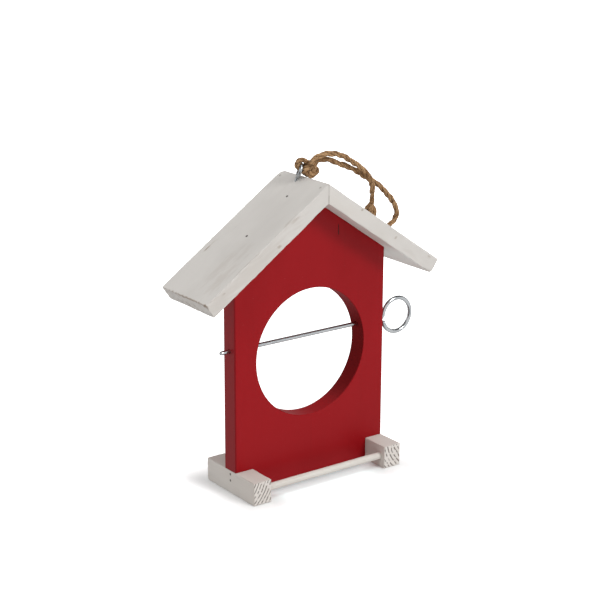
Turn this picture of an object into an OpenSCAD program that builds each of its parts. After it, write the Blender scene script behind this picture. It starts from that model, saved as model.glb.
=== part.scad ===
// Fruit bird feeder: a house-shaped board with a round hole for an apple,
// a wire skewer that slides through it, a pitched roof, two feet with
// perches between them, and a rope loop on a screw eye.
// Millimetres. Origin at the middle of the footprint on the ground,
// X to the right, Y to the back, Z up. The front faces -Y.

/* [House board] */
// Width of the board
board_w = 150; // [136:1:180]
// Thickness of the board
board_t = 16; // [14:0.5:22]
// Height of the straight sides, from the ground to the roof
side_h = 185; // [175:1:230]
// Width of the eased edge down each side
board_ease = 0.8; // [0.3:0.1:1.5]

/* [Fruit hole] */
// Diameter of the hole that holds the apple
hole_d = 108; // [80:1:112]
// Height of the middle of the hole
hole_z = 108.5; // [100:0.5:115]
// Width of the eased edge round the hole
hole_ease = 0.5; // [0.2:0.1:1]

/* [Roof] */
// Slope of each roof board, in degrees
pitch = 34.5; // [30:0.5:40]
// Length of a roof board from the ridge to the eave
roof_len = 140; // [125:1:160]
// Thickness of a roof board
roof_t = 13.2; // [10:0.2:16]
// Depth of the roof from front to back
roof_depth = 64; // [56:1:80]
// Distance that the roof sits behind the middle of the board
roof_shift = 2; // [0:0.5:4]
// Width of the eased long edges of a roof board
roof_ease = 0.9; // [0.3:0.1:2]

/* [Feet] */
// Width of a foot block
foot_w = 17; // [14:0.5:22]
// Height of a foot block
foot_h = 19.5; // [16:0.5:24]
// Length of a foot block from front to back
foot_len = 68; // [56:1:90]
// Width of the eased long edges of a foot block
foot_ease = 1.2; // [0.4:0.1:2]

/* [Perches] */
// Diameter of a perch dowel
perch_d = 6; // [5:0.5:8]
// Distance from the end of a foot block to the middle of a perch
perch_inset = 7; // [6:0.5:10]
// Depth of the blind hole that holds each end of a perch
perch_seat = 11; // [6:0.5:13]
// Gap round a perch in its hole
perch_clear = 0.05; // [0.05:0.05:0.2]
// Gap between the end of a perch and the bottom of its hole
perch_end_gap = 0.3; // [0.1:0.1:1]

/* [Skewer] */
// Diameter of the skewer wire
wire_d = 3.5; // [3:0.1:4.5]
// Height of the skewer above the ground
skewer_z = 121; // [112:0.5:128]
// Gap round the skewer in the bores of the board
skewer_clear = 0.1; // [0.05:0.05:0.3]
// Length of the tip that stands out on the left
tip_out = 9; // [5:0.5:15]
// Length of the taper at the tip
tip_taper = 3; // [2:0.5:5]
// Diameter of the blunt point
tip_d = 1.2; // [0.8:0.1:1.8]
// Outer diameter of the ring handle
ring_d = 33; // [28:1:38]
// Gap between the board and the ring handle
ring_gap = 5; // [4:0.5:10]
// Radius of the bend between the skewer and its ring, to mid wire
ring_bend = 4; // [3.5:0.5:5]
// Angle left open between the end of the ring and its neck
ring_open = 13; // [13:1:25]

/* [Screw eye] */
// Outer diameter of the eye
eye_d = 13; // [12:0.5:16]
// Diameter of the wire of the eye
eye_wire = 2.8; // [2.2:0.1:3]
// Radius of the bend between the shank and the eye, to mid wire
eye_bend = 2.4; // [2:0.2:3]
// Angle left open between the end of the eye and its neck
eye_open = 28; // [26:1:40]
// Height of the start of the bend above the wood
eye_neck = 1; // [0.8:0.1:2]
// Length of the shank in the wood
eye_shank = 12; // [8:0.5:14]
// Length of the point of the shank
eye_point = 3; // [2:0.5:4]
// Gap round the shank in its pilot hole
eye_clear = 0.05; // [0.05:0.05:0.2]
// Distance of the shank from the ridge, on the left slope
eye_off = 4.5; // [3.5:0.5:10]
// Distance of the shank behind the middle of the board
eye_back = 7; // [2:0.5:8]
// Direction of the plane of the eye, in degrees from the X axis
eye_turn = 60; // [50:1:70]
// Lean of the eye to the right, in degrees
eye_lean = 17; // [5:1:20]

/* [Rope] */
// Diameter of the rope
rope_d = 4.2; // [3.6:0.1:4.5]
// Gap between the rope and the wire of the eye
rope_clear = 0.3; // [0.2:0.1:0.5]
// Diameter of the knot beside the eye
eye_knot_d = 15; // [12:0.5:15.5]
// Distance of the knot to the right of the top of the eye
eye_knot_out = 8.6; // [8:0.1:10]
// Distance of the knot below the top of the eye
eye_knot_drop = 4; // [2:0.1:4.2]
// Diameter of the knot that joins the two ends
end_knot_d = 10; // [9:0.5:10.5]

/* [Nails] */
// Diameter of a nail
nail_d = 1.2; // [1:0.1:1.6]
// Diameter of a nail head
nail_head_d = 1.8; // [1.7:0.1:2.4]
// Thickness of a nail head
nail_head_t = 0.6; // [0.4:0.1:1]
// Depth of a nail head below the wood
nail_sink = 0.3; // [0.1:0.1:0.6]
// Gap round a nail in its hole
nail_clear = 0.04; // [0.02:0.01:0.1]
// Length of the nails through the roof and the feet
long_nail = 30; // [25:1:34]
// Length of the nails through the ridge joint
ridge_nail = 18; // [14:1:19]
// Distance of the upper roof nail from the ridge
roof_nail_start = 23; // [18:1:30]
// Distance between the two nails of a roof board
roof_nail_pitch = 47; // [35:1:52]
// Distance of a ridge nail from the ridge
ridge_nail_off = 6; // [4:0.5:6.5]
// Distance of a ridge nail from the end of the roof
ridge_nail_inset = 5; // [4:0.5:8]
// Height of the lower nail in a foot
foot_nail_low = 10.8; // [4.5:0.1:11.5]
// Distance between the two nails in a foot
foot_nail_pitch = 5.4; // [3.5:0.1:5.8]

/* [Hidden] */
$fn = 64;
// Extra length that takes a cut clear through a face
over = 1;
// Thinning of a wire in its bend, and the lap of the bend on the straight wire
bend_thin = 0.02;
bend_lap = 0.15;
// Eased width at the eave, as a share of the eased width at the sides
eave_share = 0.7;

// Heights of the gable and of the ridge
gable_z = side_h + board_w / 2 * tan(pitch);
ridge_z = gable_z + roof_t / cos(pitch);

// Places of the perches
perch_y = foot_len / 2 - perch_inset;
perch_z = foot_h / 2;
perch_bore_d = perch_d + 2 * perch_clear;

// Sizes of the skewer along X
skewer_bore_d = wire_d + 2 * skewer_clear;
ring_r = (ring_d - wire_d) / 2;
ring_reach = sqrt(ring_r * ring_r + 2 * ring_r * ring_bend);
ring_x = board_w / 2 + ring_gap + ring_d / 2;
neck_x = ring_x - ring_reach;
tip_x = -board_w / 2 - tip_out;

// Frame of the screw eye: its base on the left slope, and the top of its wire
eye_r = (eye_d - eye_wire) / 2;
eye_reach = sqrt(eye_r * eye_r + 2 * eye_r * eye_bend);
eye_base = [-eye_off, eye_back, ridge_z - eye_off * tan(pitch)];
lean_dir = [sin(eye_turn), -cos(eye_turn), 0];
eye_up = sin(eye_lean) * lean_dir + [0, 0, cos(eye_lean)];
eye_top = eye_base + (eye_neck + eye_reach + eye_r) * eye_up;
// Blunt end of the eye's point
eye_tip_d = eye_wire / 5;

// The rope goes round the top of the eye at this radius, to mid rope
bight_r = eye_wire / 2 + rope_clear + rope_d / 2;
// Half of the angle that the knot closes
bight_open = 40;
eye_knot_at = eye_top + eye_knot_out * lean_dir - [0, 0, eye_knot_drop];

// Route of the rope: out of the knot at the eye, over the right slope, down to
// the knot that joins the ends, and back up to the eye
ROPE_ROUTE = [[3, -2, 263], [6, -3, 267.5], [14.5, -5, 270], [23, -6, 269.5], [30, -7, 267.5],
    [37.5, -8, 263], [45, -9, 258], [51.5, -10, 252.5], [56, -11, 246.5], [58, -11, 240.5],
    [60.5, -8.5, 234], [63, -5, 227], [65, -1, 220.5], [66, 2, 213.8], [70.5, -1, 207.5],
    [75, -3, 204], [80, -4.5, 201.5], [84.5, -5, 204], [88, -5, 207], [89.5, -5, 211.5],
    [88.5, -5, 217], [84, -5, 223.5], [78, -5, 230], [72, -5, 236], [65, -5, 241.5],
    [57.5, -5, 245.5], [50.5, -5, 250], [43, -5, 254.5], [35.5, -4, 258], [28.5, -3, 261],
    [22, -2, 264], [15.5, -1, 265], [10, 0, 264], [6, 0, 260]];
ROPE_SIDES = 10;
// Place of the knot that joins the ends, on the route
end_knot_at = [66, 2, 213.8];

// A part and its mirror image: side is 1 on the right and -1 on the left
module on_side(side) {
    if (side > 0) children();
    else mirror([1, 0, 0]) children();
}

// Frame of the right roof board: X runs down the slope from the ridge,
// Z out of its top face
module on_slope() {
    translate([0, roof_shift, ridge_z]) rotate([0, pitch, 0]) children();
}

// Rectangle round the origin with its four corners taken off
module eased_rect(width, height, ease) {
    x = width / 2;
    y = height / 2;
    polygon([[ease - x, -y], [x - ease, -y], [x, ease - y], [x, y - ease],
        [x - ease, y], [ease - x, y], [-x, y - ease], [-x, ease - y]]);
}

// Straight nail along -Z, with the top of its head at the origin
module nail(length) {
    translate([0, 0, -nail_head_t]) cylinder(d = nail_head_d, h = nail_head_t);
    translate([0, 0, -length + nail_d]) cylinder(d = nail_d, h = length - nail_d - nail_head_t);
    translate([0, 0, -length]) cylinder(d1 = nail_d / 4, d2 = nail_d, h = nail_d);
}

// Hole for a nail whose head is sunk below the face at the origin
module nail_hole(length) {
    gap = 2 * nail_clear;
    translate([0, 0, -length - nail_sink - nail_clear])
        cylinder(d = nail_d + gap, h = length);
    translate([0, 0, -nail_sink - nail_head_t - nail_clear])
        cylinder(d = nail_head_d + gap, h = nail_head_t + nail_sink + over);
}

// Children at each nail of the right roof board, on its top face
module at_roof_nails() {
    on_slope() for (i = [0, 1])
        translate([roof_nail_start + i * roof_nail_pitch, -roof_shift, 0]) children();
}

// Children at each ridge nail, on the top face of the left board
module at_ridge_nails() {
    on_side(-1) on_slope() for (end = [-1, 1])
        translate([ridge_nail_off, end * (roof_depth / 2 - ridge_nail_inset), 0]) children();
}

// Children at each nail of the right foot, on its outer face
module at_foot_nails() {
    for (i = [0, 1])
        translate([board_w / 2, 0, foot_nail_low + i * foot_nail_pitch])
            rotate([0, 90, 0]) children();
}

// Wire ring on a shank that comes in along +X and ends at the origin. A small
// bend leaves the shank, and the ring runs on round its middle, on the X axis.
// The wire is drawn a little thinner in the bend, and laps into both sides
module bent_ring(radius, wire, bend, open) {
    reach = sqrt(radius * radius + 2 * radius * bend);
    lead = asin(bend / (radius + bend));
    lap = bend_lap / bend * 180 / PI;
    translate([0, bend, 0]) rotate([0, 0, -90 - lap])
        rotate_extrude(angle = 90 - lead + 2 * lap)
            translate([bend, 0]) circle(d = wire - bend_thin);
    translate([reach, 0, 0]) rotate([0, 0, 180 + open])
        rotate_extrude(angle = 360 - open - lead) translate([radius, 0]) circle(d = wire);
}

// House-shaped outline, a little wide at the sides, with its two bottom corners
// cut out for the feet
module house_outline() {
    wide = board_w / 2 + over;
    tongue = board_w / 2 - foot_w;
    wide_h = gable_z - wide * tan(pitch);
    polygon([[-tongue, 0], [tongue, 0], [tongue, foot_h], [wide, foot_h], [wide, wide_h],
        [0, gable_z], [-wide, wide_h], [-wide, foot_h], [-tongue, foot_h]]);
}

module house_board() {
    color("firebrick") difference() {
        intersection() {
            translate([0, board_t, 0]) rotate([90, 0, 0])
                linear_extrude(height = 2 * board_t) house_outline();
            translate([0, 0, -over]) linear_extrude(height = gable_z + 2 * over)
                eased_rect(board_w, board_t, board_ease);
        }
        // fruit hole, eased at both faces
        translate([0, 0, hole_z]) rotate([90, 0, 0]) {
            cylinder(d = hole_d, h = board_t + 2 * over, center = true, $fn = 180);
            for (face = [0, 180]) rotate([face, 0, 0])
                translate([0, 0, board_t / 2 - hole_ease])
                    cylinder(d1 = hole_d, d2 = hole_d + 4 * hole_ease, h = 2 * hole_ease, $fn = 180);
        }
        // bores of the skewer, through both walls
        translate([-board_w / 2 - over, 0, skewer_z]) rotate([0, 90, 0])
            cylinder(d = skewer_bore_d, h = board_w + 2 * over);
        for (side = [-1, 1]) on_side(side) {
            at_roof_nails() nail_hole(long_nail);
            at_foot_nails() nail_hole(long_nail);
        }
    }
}

// Right roof board, mitred at the ridge and cut square at the eave
module roof_board() {
    ease = eave_share * roof_ease;
    past = ease + over;
    low = roof_t + over;
    on_slope() intersection() {
        translate([0, roof_depth, 0]) rotate([90, 0, 0]) linear_extrude(height = 2 * roof_depth)
            polygon([[-over * tan(pitch), over], [roof_len - past, over], [roof_len, -ease],
                [roof_len, ease - roof_t], [roof_len - past, -low], [low * tan(pitch), -low]]);
        translate([-roof_t, 0, -roof_t / 2]) rotate([90, 0, 90])
            linear_extrude(height = roof_len + 2 * roof_t)
                eased_rect(roof_depth, roof_t, roof_ease);
    }
}

module roof_board_left() {
    color("gainsboro") difference() {
        on_side(-1) roof_board();
        on_side(-1) at_roof_nails() nail_hole(long_nail);
        at_ridge_nails() nail_hole(ridge_nail);
        // pilot hole of the screw eye
        on_eye() translate([0, 0, -eye_shank - eye_clear])
            cylinder(d = eye_wire + 2 * eye_clear, h = eye_shank + eye_wire);
    }
}

module roof_board_right() {
    color("gainsboro") difference() {
        roof_board();
        at_roof_nails() nail_hole(long_nail);
        at_ridge_nails() nail_hole(ridge_nail);
    }
}

// Right foot block with a blind hole for each perch
module foot_block() {
    half = board_w / 2;
    difference() {
        translate([half - foot_w / 2, foot_len / 2, foot_h / 2]) rotate([90, 0, 0])
            linear_extrude(height = foot_len) eased_rect(foot_w, foot_h, foot_ease);
        for (y = [-perch_y, perch_y])
            translate([half - foot_w - over, y, perch_z]) rotate([0, 90, 0])
                cylinder(d = perch_bore_d, h = perch_seat + over);
        at_foot_nails() nail_hole(long_nail);
    }
}

module foot_left() {
    color("linen") on_side(-1) foot_block();
}

module foot_right() {
    color("linen") foot_block();
}

// Dowel between the two feet, at this distance behind the board's middle
module perch(y) {
    half = board_w / 2 - foot_w + perch_seat - perch_end_gap;
    color("antiquewhite") translate([-half, y, perch_z]) rotate([0, 90, 0])
        cylinder(d = perch_d, h = 2 * half);
}

module perch_front() {
    perch(-perch_y);
}

module perch_rear() {
    perch(perch_y);
}

// One length of wire: a blunt point, a straight shank and a ring handle
module skewer() {
    color("lightsteelblue") translate([0, 0, skewer_z]) {
        translate([tip_x, 0, 0]) rotate([0, 90, 0])
            cylinder(d1 = tip_d, d2 = wire_d, h = tip_taper);
        translate([tip_x + tip_taper, 0, 0]) rotate([0, 90, 0])
            cylinder(d = wire_d, h = neck_x - tip_x - tip_taper);
        translate([neck_x, 0, 0]) rotate([90, 0, 0])
            bent_ring(ring_r, wire_d, ring_bend, ring_open);
    }
}

// Frame of the screw eye: Z up its leaning shank, X in the plane of the eye
module on_eye() {
    translate(eye_base) rotate([0, 0, eye_turn]) rotate([eye_lean, 0, 0]) children();
}

module screw_eye() {
    color("lightsteelblue") on_eye() {
        translate([0, 0, eye_neck]) rotate([90, -90, 0])
            bent_ring(eye_r, eye_wire, eye_bend, eye_open);
        translate([0, 0, -eye_shank + eye_point])
            cylinder(d = eye_wire, h = eye_shank - eye_point + eye_neck);
        translate([0, 0, -eye_shank]) cylinder(d1 = eye_tip_d, d2 = eye_wire, h = eye_point);
    }
}

// Round tube that follows a route: a ring of points square to it at each point
function unit(v) = v / norm(v);
function along(path, i) = unit(path[min(i + 1, len(path) - 1)] - path[max(i - 1, 0)]);
function ring_at(path, i, d, sides) =
    let (t = along(path, i), u = unit(cross(t, [0, 1, 0])), v = cross(t, u))
    [for (k = [0:sides - 1]) path[i] + d / 2 * (cos(360 * k / sides) * u + sin(360 * k / sides) * v)];

module tube(path, d, sides) {
    last = len(path) - 1;
    rings = [for (i = [0:last]) each ring_at(path, i, d, sides)];
    walls = [for (i = [0:last - 1], k = [0:sides - 1])
        let (a = i * sides + k, b = i * sides + (k + 1) % sides)
        each [[a, b, a + sides], [b, b + sides, a + sides]]];
    caps = [[for (k = [sides - 1:-1:0]) k], [for (k = [0:sides - 1]) last * sides + k]];
    polyhedron(points = rings, faces = concat(walls, caps));
}

module hanging_rope() {
    color("peru") tube(ROPE_ROUTE, rope_d, ROPE_SIDES);
}

// Knot beside the eye, with the turn of rope that it holds round the wire
module rope_eye_knot() {
    color("peru") {
        translate(eye_knot_at) sphere(d = eye_knot_d);
        translate(eye_top) rotate([90, 0, eye_turn - 90]) rotate([0, 0, bight_open])
            rotate_extrude(angle = 360 - 2 * bight_open) translate([bight_r, 0]) circle(d = rope_d);
    }
}

module rope_end_knot() {
    color("peru") translate(end_knot_at) sphere(d = end_knot_d);
}

// Two nails through a roof board into the house board
module roof_nails() {
    at_roof_nails() translate([0, 0, -nail_sink]) nail(long_nail);
}

module roof_nails_left() {
    color("gray") on_side(-1) roof_nails();
}

module roof_nails_right() {
    color("gray") roof_nails();
}

// Two nails through the left roof board into the end grain of the right one
module ridge_nails() {
    color("gray") at_ridge_nails() translate([0, 0, -nail_sink]) nail(ridge_nail);
}

// Two nails through a foot into the house board
module foot_nails() {
    at_foot_nails() translate([0, 0, -nail_sink]) nail(long_nail);
}

module foot_nails_left() {
    color("gray") on_side(-1) foot_nails();
}

module foot_nails_right() {
    color("gray") foot_nails();
}

house_board();
roof_board_left();
roof_board_right();
foot_left();
foot_right();
perch_front();
perch_rear();
skewer();
screw_eye();
hanging_rope();
rope_eye_knot();
rope_end_knot();
roof_nails_left();
roof_nails_right();
ridge_nails();
foot_nails_left();
foot_nails_right();
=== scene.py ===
"""Looks of the fruit bird feeder: painted boards, zinc wire and jute rope.

The shapes are worked out in millimetres, in the frame of the CAD model, and
go into the meshes in metres. The camera and the rope are made first, then the
wire, the boards, the feet and the perches, and last the studio.
"""

import bmesh
import bpy
import numpy as np
from mathutils import Matrix


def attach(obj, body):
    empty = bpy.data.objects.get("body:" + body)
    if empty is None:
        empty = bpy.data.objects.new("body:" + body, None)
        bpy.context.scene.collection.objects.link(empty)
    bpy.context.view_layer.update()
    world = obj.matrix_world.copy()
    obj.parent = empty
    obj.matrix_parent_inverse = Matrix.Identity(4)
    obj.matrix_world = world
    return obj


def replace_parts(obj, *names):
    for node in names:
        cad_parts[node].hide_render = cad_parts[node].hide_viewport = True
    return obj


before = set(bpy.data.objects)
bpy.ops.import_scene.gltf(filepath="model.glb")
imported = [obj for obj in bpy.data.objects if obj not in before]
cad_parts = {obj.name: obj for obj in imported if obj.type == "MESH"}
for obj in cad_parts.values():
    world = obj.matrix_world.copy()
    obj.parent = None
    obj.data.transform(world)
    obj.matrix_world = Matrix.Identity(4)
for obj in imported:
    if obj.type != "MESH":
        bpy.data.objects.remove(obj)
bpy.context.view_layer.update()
MM = 0.001

# Sizes of the object in millimetres, as in the CAD source
PITCH = np.radians(34.5)
BOARD_W, BOARD_T, SIDE_H = 150.0, 16.0, 185.0
ROOF_LEN, ROOF_T, ROOF_DEPTH, ROOF_SHIFT = 140.0, 13.2, 64.0, 2.0
RIDGE_Z = SIDE_H + BOARD_W / 2 * np.tan(PITCH) + ROOF_T / np.cos(PITCH)
FOOT_W, FOOT_H, FOOT_LEN = 17.0, 19.5, 68.0
PERCH_R, PERCH_Y, PERCH_Z, PERCH_HALF = 3.0, 27.0, FOOT_H / 2, 68.7
ROOF_NAILS, RIDGE_NAIL, RIDGE_NAIL_Y, FOOT_NAILS = (23.0, 70.0), 6.0, 27.0, (10.8, 16.2)
WIRE_R, SKEWER_Z, TIP_X, TIP_TAPER = 1.75, 121.0, -84.0, 3.0
RING_R, RING_BEND, RING_X, RING_OPEN = 14.75, 3.0, 95.7, np.radians(11.0)
EYE_WIRE_R, EYE_R, EYE_BEND, EYE_OPEN = 1.4, 5.1, 2.4, np.radians(28.0)
EYE_NECK, EYE_SHANK, EYE_POINT = 1.0, 12.0, 3.0
EYE_TURN, EYE_LEAN = np.radians(60.0), np.radians(17.0)
EYE_BASE = np.array([-4.5, 7.0, RIDGE_Z - 4.5 * np.tan(PITCH)])
ROPE_D, ROPE_LAY = 4.2, 24.0

# Lay of the rope, as shares of its diameter: how far the middle of a strand lies
# from the rope's middle, and the strand's radius. Then the lengths of its fibres
STRAND_OFF, STRAND_R = 0.24, 0.31
FIBRE_LONG = (1.5, 5.5)

# Crack in the red board: where it lies across and up, and half its length
CRACK_X, CRACK_Z, CRACK_HALF = 26.7, 207.5, 5.5

# Camera: its turn, height and roll in degrees, the point that it looks at, how
# far back from there it stands, in metres, and its lens and sensor
CAMERA_TURN, CAMERA_HIGH, CAMERA_ROLL = -36.178, 16.916, 0.235
CAMERA_AIM, CAMERA_AWAY = np.array([-0.363, 7.349, 148.8]), 1.30526
LENS, SENSOR = 96.0, 36.0

# Pit round a nail: its depth, and the distances from the nail between which its
# wall rises and its dark edge fades
PIT_DEPTH, PIT_WALL, PIT_SHADE = 0.55, (0.82, 1.05), (0.8, 1.25)

# Route of the rope: out of the knot at the eye, over the right slope, down to
# the knot that joins its ends, and back up to the eye
ROPE_ROUTE = [
    [3, -2, 263], [6, -3, 267.5], [14.5, -5, 270], [23, -6, 269.5], [30, -7, 267.5],
    [37.5, -8, 263], [45, -9, 258], [51.5, -10, 252.5], [56, -11, 246.5], [58, -11, 240.5],
    [60.5, -8.5, 234], [63, -5, 227], [65, -1, 220.5], [66, 2, 213.8], [70.5, -1, 207.5],
    [75, -3, 204], [80, -4.5, 201.5], [84.5, -5, 204], [88, -5, 207], [89.5, -5, 211.5],
    [88.5, -5, 217], [84, -5, 223.5], [78, -5, 230], [72, -5, 236], [65, -5, 241.5],
    [57.5, -5, 245.5], [50.5, -5, 250], [43, -5, 254.5], [35.5, -4, 258], [28.5, -3, 261],
    [22, -2, 264], [15.5, -1, 265], [10, 0, 264], [6, 0, 260],
]  # fmt: skip
END_KNOT_AT = np.array([66.0, 2.0, 213.8])
BELL_NECK = np.array([64.2, -2.6, 223.0])


# Arrays


def unit(v):
    """Vectors of length one: each vector over its own length."""
    return v / np.linalg.norm(v, axis=-1, keepdims=True)


def ripple(points, wavelength, seed, waves=14):
    """Smooth random height, mostly from -1 to 1: the sum of cosine waves of
    about one wavelength, which run in random directions from random starts."""
    rng = np.random.default_rng(seed)
    turn = unit(rng.normal(size=(waves, 3))) * (2 * np.pi / wavelength)
    turn = turn * rng.uniform(0.6, 1.5, (waves, 1))
    start = rng.uniform(0, 2 * np.pi, waves)
    return np.cos(points @ turn.T + start).sum(-1) / np.sqrt(1.3 * waves)


def step(value, low, high):
    """0 below low and 1 above high, and between them the cubic 3tt - 2ttt."""
    t = np.clip((value - low) / (high - low), 0, 1)
    return t * t * (3 - 2 * t)


def through(points, count):
    """Curve through the points: between two of them a cubic, whose slope at
    each is half the way from the point before to the point after."""
    p = np.asarray(points, float)
    last = len(p) - 1
    t = np.linspace(0, last, count)
    i = np.minimum(t.astype(int), last - 1)
    f = (t - i)[:, None]
    a, b = p[i], p[i + 1]
    slope_a = (b - p[np.maximum(i - 1, 0)]) / 2
    slope_b = (p[np.minimum(i + 2, last)] - a) / 2
    return (
        a * (1 + 2 * f) * (1 - f) ** 2
        + b * f * f * (3 - 2 * f)
        + slope_a * f * (1 - f) ** 2
        - slope_b * f * f * (1 - f)
    )


def length_along(path):
    """Distance from the start of the path to each of its points."""
    steps = np.linalg.norm(np.diff(path, axis=0), axis=1)
    return np.concatenate([[0.0], np.cumsum(steps)])


def even(path, gap):
    """The path again, with its points about one gap apart along it."""
    s = length_along(path)
    at = np.linspace(0, s[-1], int(s[-1] / gap) + 1)
    return np.stack([np.interp(at, s, path[:, k]) for k in range(3)], 1)


def grid_faces(rows, columns, ringed=False):
    """Corner numbers of the faces between the rows and columns of a grid of
    points. On a ringed grid the last column meets the first."""
    i = np.arange(rows - 1)[:, None]
    j = np.arange(columns if ringed else columns - 1)[None, :]
    k = (j + 1) % columns
    corners = (i * columns + j, i * columns + k, (i + 1) * columns + k, (i + 1) * columns + j)
    return np.stack(np.broadcast_arrays(*corners), -1).reshape(-1, 4)


def tube(path, side, radius, sides, lobes=0, lobe_turn=0.0, lobe_depth=0.0):
    """Grid of points round a path: at angle a, the path plus the radius times
    side * cos(a) + other * sin(a), where other is square to side and path. The
    radius swells and sinks with the cosine of lobes * a, turned along the way.
    The first and last rings close to a point."""
    ahead = unit(np.gradient(path, axis=0))
    side = unit(side - (side * ahead).sum(-1, keepdims=True) * ahead)
    other = np.cross(ahead, side)
    a = np.linspace(0, 2 * np.pi, sides, endpoint=False)
    turned = lobes * a[None, :] + lobe_turn * length_along(path)[:, None]
    r = np.broadcast_to(radius, len(path))[:, None] * (1 + lobe_depth * np.cos(turned))
    r = np.concatenate([0 * r[:1], r, 0 * r[-1:]])[..., None]
    path, side, other = (np.concatenate([v[:1], v, v[-1:]]) for v in (path, side, other))
    ring = np.cos(a)[:, None] * side[:, None] + np.sin(a)[:, None] * other[:, None]
    return path[:, None] + r * ring


# Meshes


def piece(name, points, faces, body, slot, paint, closed=True, uv=None, **values):
    """Mesh of these points, in millimetres, that rides on a CAD body and wears
    this material. values holds numbers or vectors, one per point, that the
    material reads."""
    mesh = bpy.data.meshes.new(name)
    points = points.reshape(-1, 3)
    mesh.vertices.add(len(points))
    mesh.vertices.foreach_set("co", (points * MM).astype(np.float32).ravel())
    mesh.loops.add(faces.size)
    mesh.loops.foreach_set("vertex_index", faces.astype(np.int32).ravel())
    mesh.polygons.add(len(faces))
    starts = np.arange(0, faces.size, faces.shape[1], dtype=np.int32)
    mesh.polygons.foreach_set("loop_start", starts)
    mesh.polygons.foreach_set("use_smooth", np.ones(len(faces), bool))
    for key, value in values.items():
        kind = "FLOAT" if value.ndim == 1 else "FLOAT_VECTOR"
        layer = mesh.attributes.new(key, kind, "POINT")
        field = "value" if value.ndim == 1 else "vector"
        layer.data.foreach_set(field, value.astype(np.float32).ravel())
    if uv is not None:
        layer = mesh.uv_layers.new(name="UVMap")
        layer.data.foreach_set("uv", uv.astype(np.float32).ravel())
    mesh.update(calc_edges=True)
    if closed:
        bm = bmesh.new()
        bm.from_mesh(mesh)
        bmesh.ops.remove_doubles(bm, verts=bm.verts, dist=1e-7)
        bmesh.ops.recalc_face_normals(bm, faces=bm.faces)
        bm.to_mesh(mesh)
        bm.free()
    made = bpy.data.objects.new(name, mesh)
    bpy.context.scene.collection.objects.link(made)
    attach(made, body)
    mesh.materials.append(paint)
    return made


def joined(grids):
    """Points and faces of several grids of one size as one mesh, with a UV
    map: across is the share of the way round, and up is the distance along over
    the rope's diameter, further on for each next grid. Last comes how deep each
    point lies, (1 - cos a) / 2 at the angle a from where the tube's ring
    starts."""
    rows, columns = grids[0].shape[:2]
    faces = grid_faces(rows, columns, ringed=True)
    count = rows * columns
    all_faces = np.concatenate([faces + k * count for k in range(len(grids))])
    cell = np.arange(len(faces))
    i, j = cell // columns, cell % columns
    around = np.stack([j, j + 1, j + 1, j], 1) / columns
    middle = np.concatenate([g.mean(1) for g in grids]).reshape(len(grids), rows, 3)
    uv = []
    for k, line in enumerate(middle):
        s = length_along(line) / ROPE_D
        up = np.stack([s[i], s[i], s[i + 1], s[i + 1]], 1)
        uv.append(np.stack([around, up + 7.3 * k], -1).reshape(-1, 2))
    depth = (1 - np.cos(np.linspace(0, 2 * np.pi, columns, endpoint=False))) / 2
    depth = np.tile(depth, rows * len(grids))
    return np.concatenate([g.reshape(-1, 3) for g in grids]), all_faces, np.concatenate(uv), depth


# Materials


def srgb(red, green, blue):
    """Linear colour of a colour that is written from 0 to 255: each share c
    becomes ((c + 0.055) / 1.055) to the power 2.4, and c / 12.92 where dark."""
    c = np.array([red, green, blue]) / 255
    c = np.where(c <= 0.04045, c / 12.92, ((c + 0.055) / 1.055) ** 2.4)
    return (*c.tolist(), 1.0)


# Colours of the red paint: all over, in clouds, along the grain, in specks, on
# the faces that look sideways, of the painted shade in the hole and in the crack
RED, RED_CLOUD, RED_GRAIN = srgb(153, 9, 19), srgb(146, 8, 17), srgb(128, 6, 13)
RED_SPECK, RED_SIDEWAYS = srgb(190, 90, 90), srgb(124, 20, 27)
RED_HOLE_SHADE, RED_CRACK = srgb(100, 0, 2), srgb(40, 6, 9)

# Colours of the white washes: each in the light, in clouds, in patches and where
# it is worn. Then the wash on end grain, painted light under the eaves, dirt in
# smears with painted shade in one of them, and the dark of grooves, joints, eave
# ends and nail pits
ROOF_WASH = [srgb(214, 210, 205), srgb(204, 200, 195), srgb(200, 190, 177), srgb(160, 150, 140)]
FOOT_WASH = [srgb(213, 208, 202), srgb(204, 197, 190), srgb(200, 187, 174), srgb(164, 148, 136)]
PERCH_WASH = [srgb(224, 220, 213), srgb(212, 206, 198), srgb(206, 194, 178), srgb(170, 150, 128)]
WASH_END, EAVES_PAINTED_LIGHT = srgb(224, 218, 212), srgb(227, 232, 227)
STAIN_AND_SHADE, GROOVE, PIT = srgb(138, 114, 88), srgb(84, 72, 62), srgb(70, 62, 56)

# Colours of the metals: zinc and its dull spots, a nail's steel and rust, and a
# nail under the wash and its specks
ZINC, ZINC_DULL = srgb(190, 193, 195), srgb(174, 178, 181)
STEEL, RUST = srgb(96, 94, 92), srgb(84, 64, 48)
NAIL_WASH, NAIL_SPECK = srgb(204, 199, 193), srgb(128, 118, 108)

# Colours of the jute: all over, in clouds, of dark and pale fibres, and of the
# painted shade and dirt between the strands
TAN, TAN_CLOUD = srgb(187, 148, 106), srgb(145, 106, 68)
TAN_DARK, TAN_PALE, TAN_SHADE_AND_DIRT = srgb(84, 54, 32), srgb(216, 189, 156), srgb(74, 46, 25)


def add(tree, kind, sockets=None, **settings):
    """A new node. Each socket gets a number, a colour or another node's output."""
    node = tree.nodes.new("ShaderNode" + kind)
    for key, value in settings.items():
        setattr(node, key, value)
    for key, value in (sockets or {}).items():
        if isinstance(value, bpy.types.NodeSocket):
            tree.links.new(value, node.inputs[key])
        else:
            node.inputs[key].default_value = value
    return node


def mixed(tree, share, a, b):
    """Colour between a and b: (1 - share) times a plus share times b."""
    return add(tree, "Mix", {0: share, 6: a, 7: b}, data_type="RGBA").outputs[2]


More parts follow.
